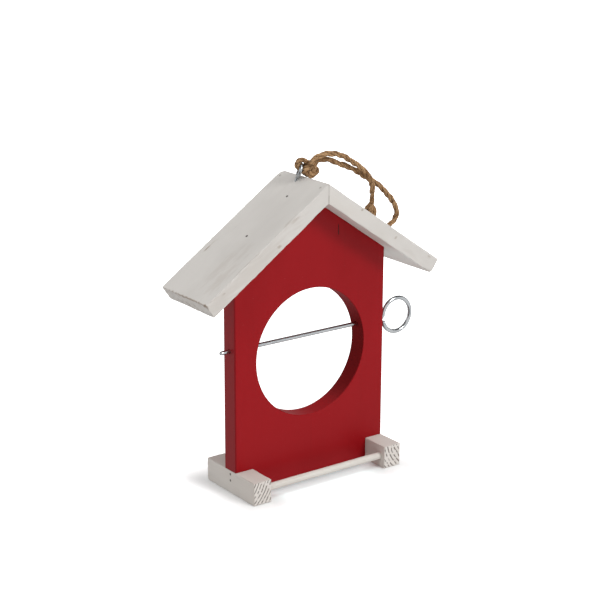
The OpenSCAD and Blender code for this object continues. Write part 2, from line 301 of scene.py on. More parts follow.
def ramp(tree, value, low, high, start=0.0, end=1.0):
    """Number that goes smoothly from start to end as value goes from low to high."""
    sockets = {"Value": value, "From Min": low, "From Max": high, "To Min": start, "To Max": end}
    return add(tree, "MapRange", sockets, interpolation_type="SMOOTHSTEP").outputs[0]


def maths(tree, operation, a, b=0.0):
    """One sum on two numbers."""
    return add(tree, "Math", {0: a, 1: b}, operation=operation).outputs[0]


def plus(tree, a, b):
    """a + b."""
    return maths(tree, "ADD", a, b)


def minus(tree, a, b):
    """a - b."""
    return maths(tree, "SUBTRACT", a, b)


def times(tree, a, b):
    """a times b."""
    return maths(tree, "MULTIPLY", a, b)


def size_of(tree, a):
    """a without its sign."""
    return maths(tree, "ABSOLUTE", a)


def noise(tree, where, scale, detail=3.0, rough=0.55, stretch=(1, 1, 1), move=(0, 0, 0)):
    """Noise at these coordinates, drawn out along an axis where stretch is small."""
    moved = add(tree, "Mapping", {"Vector": where, "Scale": stretch, "Location": move})
    sockets = {"Vector": moved.outputs[0], "Scale": scale, "Detail": detail, "Roughness": rough}
    return add(tree, "TexNoise", sockets).outputs[0]


def attribute(tree, name, socket="Fac"):
    """What a piece keeps under this name at each of its points."""
    return add(tree, "Attribute", attribute_name=name).outputs[socket]


def new_material(name, **sockets):
    """Material with one shader, and the values that are the same all over it."""
    material = bpy.data.materials.new(name)
    material.use_nodes = True
    tree = material.node_tree
    shader = tree.nodes["Principled BSDF"]
    for key, value in sockets.items():
        shader.inputs[key.replace("_", " ")].default_value = value
    return material, tree, shader


def coat(tree, shader, colour, rough):
    """Feeds the shader's colour and its roughness."""
    tree.links.new(colour, shader.inputs["Base Color"])
    tree.links.new(rough, shader.inputs["Roughness"])


def bumped(tree, shader, height, distance, strength, normal=None):
    """Feeds the shader's normal with a height in metres."""
    sockets = {"Height": height, "Distance": distance, "Strength": strength}
    if normal is not None:
        sockets["Normal"] = normal
    tree.links.new(add(tree, "Bump", sockets).outputs[0], shader.inputs["Normal"])


def red_paint():
    """Satin red paint on planed pine: an even red, a shade deeper in clouds,
    with the grain of the upright board just felt through it. The faces that look
    sideways, the board's sides and the wall of the hole, are a darker red. The
    wall of the hole also has painted shade on it and is matt, both less so on its
    upper part. One short crack shows under the peak."""
    material, tree, shader = new_material("red_paint", Specular_IOR_Level=0.14)
    where = add(tree, "TexCoord").outputs["Object"]
    cloud = noise(tree, where, 16, rough=0.5, stretch=(1, 1, 0.4))
    grain = noise(tree, where, 420, rough=0.6, stretch=(1, 1, 0.03))
    speck = noise(tree, where, 700, detail=1, rough=0.4)
    red = mixed(tree, ramp(tree, cloud, 0.35, 0.68), RED, RED_CLOUD)
    red = mixed(tree, ramp(tree, grain, 0.55, 0.8, 0, 0.3), red, RED_GRAIN)
    red = mixed(tree, ramp(tree, speck, 0.8, 0.82, 0, 0.3), red, RED_SPECK)
    facing = add(tree, "SeparateXYZ", {0: add(tree, "NewGeometry").outputs["True Normal"]}).outputs[0]
    # The faces that look sideways, the board's sides and the wall of the hole, are a darker red
    on_edge = ramp(tree, size_of(tree, facing), 0.3, 0.8, 0, 0.7)
    red = mixed(tree, on_edge, red, RED_SIDEWAYS)
    x, _, z = (add(tree, "SeparateXYZ", {0: where}).outputs[k] for k in range(3))
    # Painted shade on the wall of the hole, weaker on its upper part; the same mask makes the wall
    # matt
    hole_shade_and_matt = times(tree, on_edge, ramp(tree, size_of(tree, x), 0.06, 0.07, 1, 0))
    hole_shade_and_matt = times(tree, hole_shade_and_matt, ramp(tree, z, 0.118, 0.15, 1, 0.35))
    red = mixed(tree, times(tree, hole_shade_and_matt, 1.2), red, RED_HOLE_SHADE)
    bend = times(tree, minus(tree, cloud, 0.5), 0.0012)
    off = size_of(tree, minus(tree, plus(tree, x, bend), CRACK_X * MM))
    inside = size_of(tree, minus(tree, z, CRACK_Z * MM))
    thin = ramp(tree, off, 0.0002, 0.0006, 1, 0)
    short = ramp(tree, inside, 0.6 * CRACK_HALF * MM, CRACK_HALF * MM, 1, 0)
    crack = times(tree, thin, short)
    red = mixed(tree, times(tree, crack, 0.95), red, RED_CRACK)
    rough = ramp(tree, cloud, 0.3, 0.7, 0.36, 0.46)
    coat(tree, shader, red, plus(tree, rough, times(tree, hole_shade_and_matt, 0.7)))
    peel = noise(tree, where, 900, detail=2, rough=0.5)
    height = plus(tree, times(tree, grain, 0.8), times(tree, peel, 0.3))
    height = minus(tree, height, times(tree, crack, 4))
    soft = add(tree, "Bevel", {"Radius": 0.0007}, samples=4).outputs[0]
    bumped(tree, shader, height, 0.00006, 0.8, soft)
    return material


def white_wash(name, light, shade, stain, worn, stain_share, streaks):
    """Thin white wash on pine. The first coordinate of grain runs along the
    wood: streaks and brush marks follow it, stains lie in soft patches, the
    wash is thin on edges, and then come the marks that the piece keeps, among
    them painted light under the eaves and painted shade in a smear."""
    material, tree, shader = new_material(name, Specular_IOR_Level=0.3)
    where = attribute(tree, "grain", "Vector")
    cloud = noise(tree, where, 22, stretch=(0.5, 1, 1))
    patch = noise(tree, where, 9, detail=4, rough=0.6, stretch=(0.45, 1, 1), move=(0.31, 0.12, 0))
    fibre = noise(tree, where, 640, detail=4, rough=0.65, stretch=(0.035, 1, 1))
    brush = noise(tree, where, 240, rough=0.6, stretch=(0.05, 1, 1), move=(0.7, 0, 0))
    fine = noise(tree, where, 1500, detail=2, rough=0.5, stretch=(0.3, 1, 1))
    colour = mixed(tree, ramp(tree, cloud, 0.35, 0.7), light, shade)
    colour = mixed(tree, ramp(tree, patch, 0.5, 0.72, 0, stain_share), colour, stain)
    colour = mixed(tree, ramp(tree, brush, 0.52, 0.75, 0, streaks * 0.6), colour, shade)
    colour = mixed(tree, ramp(tree, fibre, 0.62, 0.78, 0, streaks), colour, worn)
    edge = attribute(tree, "edge")
    scuffed = plus(tree, edge, times(tree, minus(tree, cloud, 0.5), 1.6))
    scuffed = plus(tree, scuffed, times(tree, minus(tree, brush, 0.5), 1.2))
    wear = times(tree, ramp(tree, scuffed, 0.72, 1.15), ramp(tree, edge, 0.35, 0.6))
    colour = mixed(tree, times(tree, wear, 0.55), colour, worn)
    marks = {"end": WASH_END, "under": EAVES_PAINTED_LIGHT, "stain": STAIN_AND_SHADE, "groove": GROOVE, "pit": PIT}
    for mark, tint in marks.items():
        colour = mixed(tree, attribute(tree, mark), colour, tint)
    coat(tree, shader, colour, ramp(tree, cloud, 0.3, 0.7, 0.62, 0.78))
    height = plus(tree, times(tree, fibre, -0.7), times(tree, brush, 0.6))
    height = plus(tree, height, times(tree, fine, 0.25))
    bumped(tree, shader, height, 0.00012, 0.9)
    return material


def zinc():
    """Bright zinc plate on drawn wire: grey with a cool tint, duller in spots,
    with fine lines from the drawing."""
    material, tree, shader = new_material("zinc_plate", Metallic=1.0)
    where = add(tree, "TexCoord").outputs["Object"]
    dull = noise(tree, where, 90, detail=2, rough=0.5)
    fine = noise(tree, where, 900, detail=2, rough=0.5)
    grey = mixed(tree, ramp(tree, dull, 0.4, 0.7), ZINC, ZINC_DULL)
    coat(tree, shader, grey, ramp(tree, dull, 0.35, 0.7, 0.14, 0.22))
    bumped(tree, shader, fine, 0.000004, 0.4)
    return material


def dull_steel():
    """Steel of a nail head that sits in paint: dark grey with brown spots."""
    material, tree, shader = new_material("nail_head", Metallic=0.7)
    where = add(tree, "TexCoord").outputs["Object"]
    spots = noise(tree, where, 1800, rough=0.6)
    grey = mixed(tree, ramp(tree, spots, 0.45, 0.65), STEEL, RUST)
    coat(tree, shader, grey, ramp(tree, spots, 0.4, 0.7, 0.4, 0.65))
    bumped(tree, shader, spots, 0.00004, 0.8)
    return material


def wash_on_steel():
    """Head of a nail that the wash ran over: white with a few dark specks."""
    material, tree, shader = new_material("nail_under_wash", Specular_IOR_Level=0.3, Roughness=0.7)
    where = add(tree, "TexCoord").outputs["Object"]
    spots = noise(tree, where, 2200, detail=2, rough=0.6)
    white = mixed(tree, ramp(tree, spots, 0.5, 0.7), NAIL_WASH, NAIL_SPECK)
    tree.links.new(white, shader.inputs["Base Color"])
    bumped(tree, shader, spots, 0.00005, 0.6)
    return material


def jute():
    """Jute yarn: the map runs round and along each strand, so that the fibres
    lie along it with a slight turn. Tan, with pale and dark fibres, and painted
    shade with dirt deep between the strands."""
    material, tree, shader = new_material("jute_yarn", Specular_IOR_Level=0.18)
    around = add(tree, "TexCoord").outputs["UV"]
    slant = add(tree, "Mapping", {"Vector": around, "Rotation": (0, 0, 0.2)}).outputs[0]
    fibre = noise(tree, slant, 9, detail=4, rough=0.7, stretch=(0.7, 0.14, 1))
    fine = noise(tree, slant, 30, rough=0.6, stretch=(1.0, 0.13, 1))
    where = add(tree, "TexCoord").outputs["Object"]
    cloud = noise(tree, where, 130, rough=0.6)
    tan = mixed(tree, ramp(tree, cloud, 0.35, 0.68), TAN, TAN_CLOUD)
    tan = mixed(tree, ramp(tree, fibre, 0.47, 0.64, 0, 0.95), tan, TAN_DARK)
    tan = mixed(tree, ramp(tree, fine, 0.52, 0.68, 0, 0.8), tan, TAN_PALE)
    # Painted shade, with dirt, where the strands lie deep between the others
    tan = mixed(tree, ramp(tree, attribute(tree, "depth"), 0.3, 0.7, 0, 0.78), tan, TAN_SHADE_AND_DIRT)
    coat(tree, shader, tan, ramp(tree, fibre, 0.3, 0.7, 0.75, 0.95))
    height = plus(tree, fine, times(tree, fibre, 1.4))
    bumped(tree, shader, height, 0.00035, 1.0)
    return material


# Camera


def way_back(turn, high):
    """Way from the object to a camera or lamp at these angles in degrees, and
    the level way to its right. Back is (sin turn cos high, -cos turn cos high,
    sin high), and right is (cos turn, sin turn, 0)."""
    turn, high = np.radians([turn, high])
    back = np.array([np.sin(turn) * np.cos(high), -np.cos(turn) * np.cos(high), np.sin(high)])
    return back, np.array([np.cos(turn), np.sin(turn), 0.0])


def placed(name, data, right, up, back, at):
    """New camera or lamp at this point, with its axes right, up and back."""
    made = bpy.data.objects.new(name, data)
    bpy.context.scene.collection.objects.link(made)
    rows = [[float(axis[k]) for axis in (right, up, back, at)] for k in range(3)]
    made.matrix_world = Matrix([*rows, [0, 0, 0, 1]])
    return made


def aim_camera():
    """Camera that looks at a point inside the board. It is rolled about its own
    axis: its right is right cos roll + up sin roll, and its up is up cos roll -
    right sin roll."""
    back, right = way_back(CAMERA_TURN, CAMERA_HIGH)
    up = np.cross(back, right)
    level, tilt = np.cos(np.radians(CAMERA_ROLL)), np.sin(np.radians(CAMERA_ROLL))
    at = CAMERA_AIM * MM + back * CAMERA_AWAY
    data = bpy.data.cameras.new("camera")
    data.lens, data.sensor_width = LENS, SENSOR
    data.clip_start, data.clip_end = 0.05, 50.0
    turned = (level * right + tilt * up, level * up - tilt * right)
    bpy.context.scene.camera = placed("camera", data, *turned, back, at)


# Rope


def laid_strands(path, side, seed, fat=1.0):
    """Three strands laid round a path. The middle of strand k circles the path
    at a small distance, at the angle 2 pi (distance / lay + k / 3). The angle,
    the distance and the strand's thickness drift a little, and fat makes all
    three thicker. Each strand has five ridges that turn the other way, as its
    yarns do."""
    ahead = unit(np.gradient(path, axis=0))
    side = unit(side - (side * ahead).sum(-1, keepdims=True) * ahead)
    other = np.cross(ahead, side)
    turns = 2 * np.pi * length_along(path) / ROPE_LAY + 0.6 * ripple(path, 30.0, seed + 5)
    swell = fat * (1 + 0.07 * ripple(path, 9.0, seed))
    strands = []
    for k in range(3):
        angle = (turns + 2 * np.pi * k / 3)[:, None]
        out = np.cos(angle) * side + np.sin(angle) * other
        off = STRAND_OFF * ROPE_D * swell * (1 + 0.25 * ripple(path + 60 * k, 11.0, seed + 2))
        middle = path + out * off[:, None]
        thick = STRAND_R * ROPE_D * swell * (1 + 0.1 * ripple(path + 40 * k, 6.0, seed + 1))
        strand = tube(middle, out, thick, sides=20, lobes=5, lobe_turn=-0.8, lobe_depth=0.06)
        strands.append(strand)
    return strands


def hairs(path, side, count, seed):
    """Loose fibres on a rope. Each starts on the rope's skin and runs along
    and out. At the share t of the way along it, its middle line has gone size *
    (t * leave + t * t * bend). It is a three-sided sliver that narrows to its
    tip."""
    rng = np.random.default_rng(seed)
    at = rng.integers(4, len(path) - 4, count)
    ahead = unit(np.gradient(path, axis=0))[at]
    side = unit(side[at] - (side[at] * ahead).sum(-1, keepdims=True) * ahead)
    other = np.cross(ahead, side)
    a = rng.uniform(0, 2 * np.pi, (count, 1))
    out = np.cos(a) * side + np.sin(a) * other
    along = ahead * rng.choice([-1.0, 1.0], (count, 1))
    leave = along + out * rng.uniform(0.15, 0.9, (count, 1))
    leave = unit(leave + 0.3 * rng.normal(size=(count, 3)))
    bend = 0.35 * rng.normal(size=(count, 3)) + 0.25 * out
    size = rng.uniform(*FIBRE_LONG, (count, 1, 1))
    t = np.linspace(0, 1, 6)[None, :, None]
    root = path[at] + out * (ROPE_D / 2) * rng.uniform(0.75, 1.0, (count, 1))
    line = root[:, None] + size * (t * leave[:, None] + t * t * bend[:, None])
    thick = rng.uniform(0.03, 0.07, (count, 1, 1)) * (1 - 0.85 * t)
    b = np.linspace(0, 2 * np.pi, 3, endpoint=False)[None, None, :, None]
    ring = np.cos(b) * out[:, None, None] + np.sin(b) * np.cross(leave, out)[:, None, None]
    grid = line[:, :, None] + thick[..., None] * ring
    return list(grid)


rope_path = even(through(ROPE_ROUTE, 900), 0.55)
rope_side = np.cross(np.gradient(rope_path, axis=0), [0.0, 1.0, 0.0])
across = np.array([np.cos(EYE_TURN), np.sin(EYE_TURN), 0.0])
lean = np.array([np.sin(EYE_TURN), -np.cos(EYE_TURN), 0.0])
eye_up = np.sin(EYE_LEAN) * lean + np.array([0, 0, np.cos(EYE_LEAN)])
eye_reach = np.sqrt(EYE_R**2 + 2 * EYE_R * EYE_BEND)
eye_top = EYE_BASE + (EYE_NECK + eye_reach + EYE_R) * eye_up

# The rope at the eye, measured from the top of the eye to the right, up and to
# the front: out of the knot, through the eye, round its wire and over the knot
TURN_ROUTE = [
    [10, -4.4, 0], [6, -3.8, 0], [2.8, -3.2, 0], [-0.8, -3.4, 0], [-3.1, -1.7, 0],
    [-3.3, 0.9, 0], [-1.7, 2.9, 0], [1.2, 3.2, 0], [4.4, 2.2, 0.4], [7.6, 1.2, 0.3],
    [11.2, -0.2, -1.4],
]  # fmt: skip
KNOT_MIDDLE = [6.8, -4.5, 0.2]


def at_eye(points):
    """Points given to the right of, above and before the top of the eye."""
    p = np.asarray(points, float)
    return eye_top + p[:, :1] * lean + p[:, 1:2] * [0, 0, 1] - p[:, 2:] * across


def bell_strands(neck, middle, count, seed):
    """Strands that spread from a neck of rope round a knot. Strand k goes down
    at the angle 2 pi k / count with a slight turn, and its distance from the
    axis is narrow + spread * sin(pi * t / 1.35) to the power 1.6 at the share t
    of the way down, so that it shrinks again under the knot."""
    axis = unit(middle - neck)
    first = unit(np.cross(axis, [0.2, 1.0, 0.1]))
    second = np.cross(axis, first)
    t = np.linspace(0, 1, 60)[:, None]
    fall = np.linalg.norm(middle - neck)
    rng = np.random.default_rng(seed)
    narrow, spread = 1.1, 3.3
    strands = []
    for k in range(count):
        angle = 2 * np.pi * k / count + 1.3 * t + rng.uniform(-0.15, 0.15)
        wide = narrow + spread * np.sin(np.pi * np.clip(t / 1.35, 0, 1)) ** 1.6
        wide = wide * (1 + 0.08 * rng.normal())
        down = (1.45 * fall) * t
        line = neck + down * axis + wide * (np.cos(angle) * first + np.sin(angle) * second)
        out = unit(line - (neck + down * axis))
        thick = 1.05 + 0.5 * t[:, 0]
        strand = tube(line, out, thick, sides=16, lobes=5, lobe_turn=-0.9, lobe_depth=0.07)
        strands.append(strand)
    return strands


def knot_path(middle, right, up, ring, roll, depth, tilt, seed):
    """Overhand knot drawn tight: a line that goes twice round a ring while it
    rolls three times about the ring's own circle, so its distance from the
    middle is ring + roll cos 3t at the angle 2t, and z = -depth sin 3t. The
    ring lies in the plane of right and up, turned by the tilt, and wavers."""
    t = np.linspace(0, 2 * np.pi, 260)[:, None]
    away = ring + roll * np.cos(3 * t)
    first = np.cos(tilt) * right + np.sin(tilt) * up
    second = np.cos(tilt) * up - np.sin(tilt) * right
    path = away * (np.cos(2 * t) * first + np.sin(2 * t) * second)
    path = path - depth * np.sin(3 * t) * np.cross(right, up)
    return middle + path * (1 + 0.04 * ripple(path, 8.0, seed)[:, None])


def rope_piece(name, grids, yarn, closed=True):
    """Piece of the rope from its strands, or from its fibres, which stay open
    and are as pale as the outside of a strand."""
    points, faces, uv, depth = joined(grids)
    depth = depth * closed
    return piece(name, points, faces, "rope_loop", "jute", yarn, closed, uv, depth=depth)


def rope_pieces():
    """The rope between its knots, the two knots and the loose fibres."""
    yarn = jute()
    strands = rope_piece("rope_strands", laid_strands(rope_path, rope_side, 3), yarn)
    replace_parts(strands, "hanging_rope")

    turn = even(through(at_eye(TURN_ROUTE), 400), 0.5)
    turn_side = np.tile(across, (len(turn), 1))
    bight = rope_piece("rope_turn_on_eye", laid_strands(turn, turn_side, 12, fat=0.92), yarn)

    middle = at_eye([KNOT_MIDDLE])[0]
    up = np.array([0.0, 0.0, 1.0])
    tie = knot_path(middle, lean, up, ring=3.1, roll=1.5, depth=2.6, tilt=-0.5, seed=5)
    tie = even(tie, 0.5)
    knot = rope_piece("rope_knot_at_eye", laid_strands(tie, tie - middle, 12, fat=1.27), yarn)
    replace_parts(knot, "rope_eye_knot")

    ahead = unit(np.array([0.45, 0.25, -1.0]))
    right = unit(np.cross([0.0, 1.0, 0.3], ahead))
    up = np.cross(ahead, right)
    end = knot_path(END_KNOT_AT, right, up, ring=1.7, roll=0.9, depth=1.6, tilt=0.4, seed=6)
    end = even(end, 0.5)
    end_knot = rope_piece("rope_knot_of_ends", laid_strands(end, end - END_KNOT_AT, 13), yarn)
    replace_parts(end_knot, "rope_end_knot")
    bell = rope_piece("rope_ends_spread", bell_strands(BELL_NECK, END_KNOT_AT, 7, 14), yarn)

    loose = hairs(rope_path, rope_side, count=320, seed=21)
    loose += hairs(tie, tie - middle, count=110, seed=22)
    loose += hairs(turn, turn_side, count=40, seed=23)
    fibres = rope_piece("rope_fibres", loose, yarn, closed=False)


# Wire


def ring_line(neck, bend, radius, opening, gap):
    """Middle line of a ring at the end of a straight wire, in its own plane:
    a quarter turn of the bend's circle, less the angle whose sine is bend over
    bend plus radius, and then the ring's circle, up to the opening."""
    lead = np.arcsin(bend / (radius + bend))
    reach = np.sqrt(radius**2 + 2 * radius * bend)
    a = np.arange(-np.pi / 2, -lead, gap / bend)
    first = np.stack([bend * np.cos(a), bend + bend * np.sin(a)], 1)
    b = np.arange(np.pi - lead, opening - np.pi, -gap / radius)
    second = np.stack([reach + radius * np.cos(b), radius * np.sin(b)], 1)
    return np.concatenate([first, second]) + [neck, 0.0]


def wire_radius(s, radius, taper, blunt, cut):
    """Radius along a wire: it grows over the taper as the root of a parabola
    from the blunt point, and rounds off over the cut at the far end."""
    t = np.clip(s / taper, 0, 1)
    point = blunt + (radius - blunt) * np.sqrt(np.clip(1 - (1 - t) ** 2, 0, 1))
    left = np.clip((s[-1] - s) / cut, 0, 1)
    return point * np.sqrt(np.clip(1 - (1 - left) ** 2, 0.05, 1))


def wire(name, node, body, metal, path, side, radius, sides):
    """Bent wire: a tube round its path with the radius given at each point."""
    grid = tube(path, np.tile(side, (len(path), 1)), radius, sides)
    points, faces, uv, _ = joined([grid])
    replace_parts(piece(name, points, faces, body, "zinc_wire", metal, uv=uv), node)


def wire_pieces():
    """The skewer with its ring, in the plane y = 0, and the screw eye, in the
    plane of its own frame. Each is a straight wire and then a ring."""
    metal = zinc()
    neck = RING_X - np.sqrt(RING_R**2 + 2 * RING_R * RING_BEND)
    near = TIP_X + TIP_TAPER * np.linspace(0, 1, 14) ** 2
    straight = np.concatenate([near, np.linspace(TIP_X + TIP_TAPER, neck, 110)[1:]])
    flat = np.stack([straight, 0 * straight], 1)
    flat = np.concatenate([flat, ring_line(neck, RING_BEND, RING_R, RING_OPEN, gap=0.6)[1:]])
    path = np.stack([flat[:, 0], 0 * flat[:, 0], SKEWER_Z + flat[:, 1]], 1)
    thick = wire_radius(length_along(path), WIRE_R, TIP_TAPER, blunt=0.5, cut=0.5)
    wire("skewer_wire", "skewer", "skewer", metal, path, [0.0, 1.0, 0.0], thick, sides=32)

    shank = np.linspace(-EYE_SHANK, EYE_NECK, 40)
    flat = np.stack([shank, 0 * shank], 1)
    flat = np.concatenate([flat, ring_line(EYE_NECK, EYE_BEND, EYE_R, EYE_OPEN, gap=0.3)[1:]])
    path = EYE_BASE + flat[:, :1] * eye_up - flat[:, 1:] * across
    square = np.cross(across, eye_up)
    thick = wire_radius(length_along(path), EYE_WIRE_R, EYE_POINT, blunt=0.28, cut=0.4)
    wire("screw_eye_wire", "screw_eye", "house", metal, path, square, thick, sides=28)


# Boards and feet

# Places of grid lines near an edge and near a nail, in millimetres from them
NEAR_EDGE = np.array([0.0, 0.15, 0.35, 0.6, 0.9, 1.25, 1.7, 2.2])
NEAR_SPOT = np.arange(-1.4, 1.41, 0.2)


def ruled(half, gap, spots=()):
    """Places of grid lines from -half to half: one each gap, more of them near
    both ends, and more again round the spots."""
    lines = [np.linspace(-half, half, int(2 * half / gap) + 1), NEAR_EDGE - half, half - NEAR_EDGE]
    lines += [spot + NEAR_SPOT for spot in spots]
    lines = np.unique(np.round(np.concatenate(lines), 4))
    lines = lines[np.abs(lines) <= half]
    keep = np.append(np.diff(lines) > 0.07, True)
    keep[0] = True
    return lines[keep]


def block_skin(lines, radius):
    """Skin of a box with rounded edges. The sharp box is six grids on the
    given lines. Each of its points is drawn to the nearest point of a box that
    is smaller by the radius all round, until it is one radius away. Gives the
    sharp points, the skin, the way out at each, and how near to an edge it is:
    0 on a flat side and 1 on the edge."""
    half = np.array([line[-1] for line in lines])
    grids, faces, count = [], [], 0
    for k in range(3):
        a, b = (k + 1) % 3, (k + 2) % 3
        across_a, across_b = np.meshgrid(lines[a], lines[b], indexing="ij")
        for end in (-1, 1):
            grid = np.empty(across_a.shape + (3,))
            grid[..., k], grid[..., a], grid[..., b] = end * half[k], across_a, across_b
            grids.append(grid.reshape(-1, 3))
            faces.append(grid_faces(*across_a.shape) + count)
            count += across_a.size
    sharp = np.concatenate(grids)
    r = radius(sharp)[:, None]
    core = np.clip(sharp, r - half, half - r)
    out = unit(sharp - core)
    edge = np.sort(np.abs(sharp - core), axis=1)[:, 1] / r[:, 0]
    return sharp, core + r * out, out, edge, np.concatenate(faces)


# Smears on the roof boards: places along the slope, across and up from the top,
# half lengths along, across and up, and strengths
LEFT_SMEARS = [
    ([93, 25.5, 0], [3.2, 1.0, 2], 0.7), ([86, 25, 0], [5, 1.2, 2], 0.25),
    ([103, -8, 0], [24, 5, 2], 0.12), ([112, -20, 0], [20, 6, 2], 0.15),
    ([88, -16, 0], [15, 3, 2], 0.1), ([139.9, -12, -0.3], [1.1, 34, 1.1], 0.62),
    ([139.6, -30, -0.5], [1.2, 2.5, 2.5], 0.8), ([63.5, -32, -8.8], [2.8, 1, 1.3], 0.6),
    ([40, -32, -1.5], [5, 2, 2], 0.24), ([123, -32, -3], [1, 1, 1], 0.75),
    # The long smear on the front face towards the eave is painted shade
    ([105, -32, -6.6], [60, 1.5, 9], 0.15), ([47, -31, 0], [8, 1.2, 1.2], 0.2),
    ([96, -31, 0], [10, 0.8, 1], 0.2),
]  # fmt: skip
RIGHT_SMEARS = [
    ([41.6, -32, -2.1], [1, 1, 1], 0.6), ([86.8, -32, -5.3], [0.8, 1, 1.6], 0.5),
    ([128.6, -32, -2.6], [2.6, 1, 1.4], 0.45), ([108, -32, -9], [9, 2, 2], 0.08),
    ([70, 5, 0], [22, 5, 2], 0.14), ([110, 14, 0], [18, 6, 2], 0.14),
]  # fmt: skip

# Worn corners of the roof boards: places along the slope, across and up from the
# middle of the thickness, how much rounder the edge is there, and how far off
# that ends
LEFT_CHIPS = [
    (ROOF_LEN, -32, 6.6, 1.5, 5.0), (118, -32, 6.6, 0.8, 5.0),
    (40, -32, 6.6, 0.5, 5.0), (0, 32, 6.6, 2.6, 5.5),
]  # fmt: skip
RIGHT_CHIPS = [(ROOF_LEN, -32, -6.6, 0.9, 5.0), (90, -32, 6.6, 0.6, 5.0), (0, 32, 6.6, 2.2, 5.0)]


def roof_board(name, node, paint, side, seed, spots, chips, smears):
    """Roof board in the frame of its slope: x runs down from the ridge and z
    out of the top. Its edges are rubbed round unevenly, more so near each chip,
    its faces waver, and its ridge end leans by x = -z tan(pitch) to meet the
    other board. Each spot is a nail: where it lies along and across, and how
    dark it is. It has a pit in the top, with the paint raised round it. A smear
    fades out from its middle to its half lengths, which waver."""
    half = np.array([ROOF_LEN, ROOF_DEPTH, ROOF_T]) / 2
    lines = (
        ruled(half[0], 1.6, [x - half[0] for x, _, _ in spots]),
        ruled(half[1], 1.6, sorted({y for _, y, _ in spots})),
        ruled(half[2], 1.1),
    )

    def rubbed(p):
        """Radius of the rounding: 0.8 with two ripples, thin at the ridge, and
        by up to size more near each chip."""
        r = 0.8 + 0.3 * ripple(p, 26.0, seed) + 0.2 * ripple(p, 7.0, seed + 1)
        r = r + (0.35 - r) * (1 - step(p[:, 0] + half[0], 0.5, 5.0))
        for x, y, z, size, wide in chips:
            d = np.linalg.norm(p - [x - half[0], y, z], axis=1)
            r = r + size * (1 - step(d, 0.1 * wide, wide))
        return np.clip(r, 0.35, 4.2)

    sharp, skin, out, edge, faces = block_skin(lines, rubbed)
    p = skin + [half[0], 0, -half[2]]
    sawn = ripple(p * [0.06, 1, 1], 2.2, seed + 2)
    waver = 0.10 * ripple(p, 34.0, seed + 3) + 0.035 * sawn
    rough_end = 0.10 * ripple(p * [1, 1, 0.35], 1.9, seed + 4) * step(out[:, 0], 0.3, 0.9)
    p = p + out * ((waver + rough_end) * step(p[:, 0], 0.5, 6))[:, None]
    pit, grooves = np.zeros(len(p)), np.clip(rough_end * 3, 0, 0.35)
    # The eave end is darker all over
    grooves = grooves + 0.17 * step(out[:, 0], 0.3, 0.9)
    top = sharp[:, 2] > half[2] - 1e-6
    for x, y, dark in spots:
        d = np.hypot(p[:, 0] - x, p[:, 1] - y)
        rim = 0.05 * np.exp(-(((d - 1.25) / 0.25) ** 2))
        p[:, 2] += top * (rim - PIT_DEPTH * (1 - step(d, *PIT_WALL)))
        pit = np.maximum(pit, dark * top * (1 - step(d, *PIT_SHADE)))
    joint = 1 - step(sharp[:, 0] + half[0], 0.3, 0.75)
    grooves = np.maximum(grooves, joint * (0.2 + 0.3 * (sharp[:, 2] < -1.5)))
    stain = np.zeros(len(p))
    for at, size, strength in smears:
        d = (p - at) / size
        d = np.linalg.norm(d, axis=1) + 0.35 * ripple(p * [0.2, 1, 1], 2.5, seed + 8)
        stain = np.maximum(stain, strength * (1 - step(d, 0.3, 1.2)))
    p[:, 0] += -p[:, 2] * np.tan(PITCH) * np.clip(1 - sharp[:, 0] / 50 - half[0] / 50, 0, 1)
    grain = p * MM + [0.13 * seed, 0.07 * seed, 0]
    x = p[:, 0] * np.cos(PITCH) + p[:, 2] * np.sin(PITCH)
    z = p[:, 2] * np.cos(PITCH) - p[:, 0] * np.sin(PITCH)
    world = np.stack([side * x, p[:, 1] + ROOF_SHIFT, z + RIDGE_Z], 1)
    # Painted light on the underside near the eaves, fading out towards the end
    painted_light_eaves = step(p[:, 0], 84, 98) * (1 - 0.9 * step(p[:, 0], 108, 138))
    made = piece(
        name, world, faces, "house", "white_wood", paint,
        grain=grain, edge=edge, pit=pit, groove=grooves, stain=stain,
        under=step(-out[:, 2], 0.5, 0.9) * painted_light_eaves,
    )
    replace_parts(made, node)


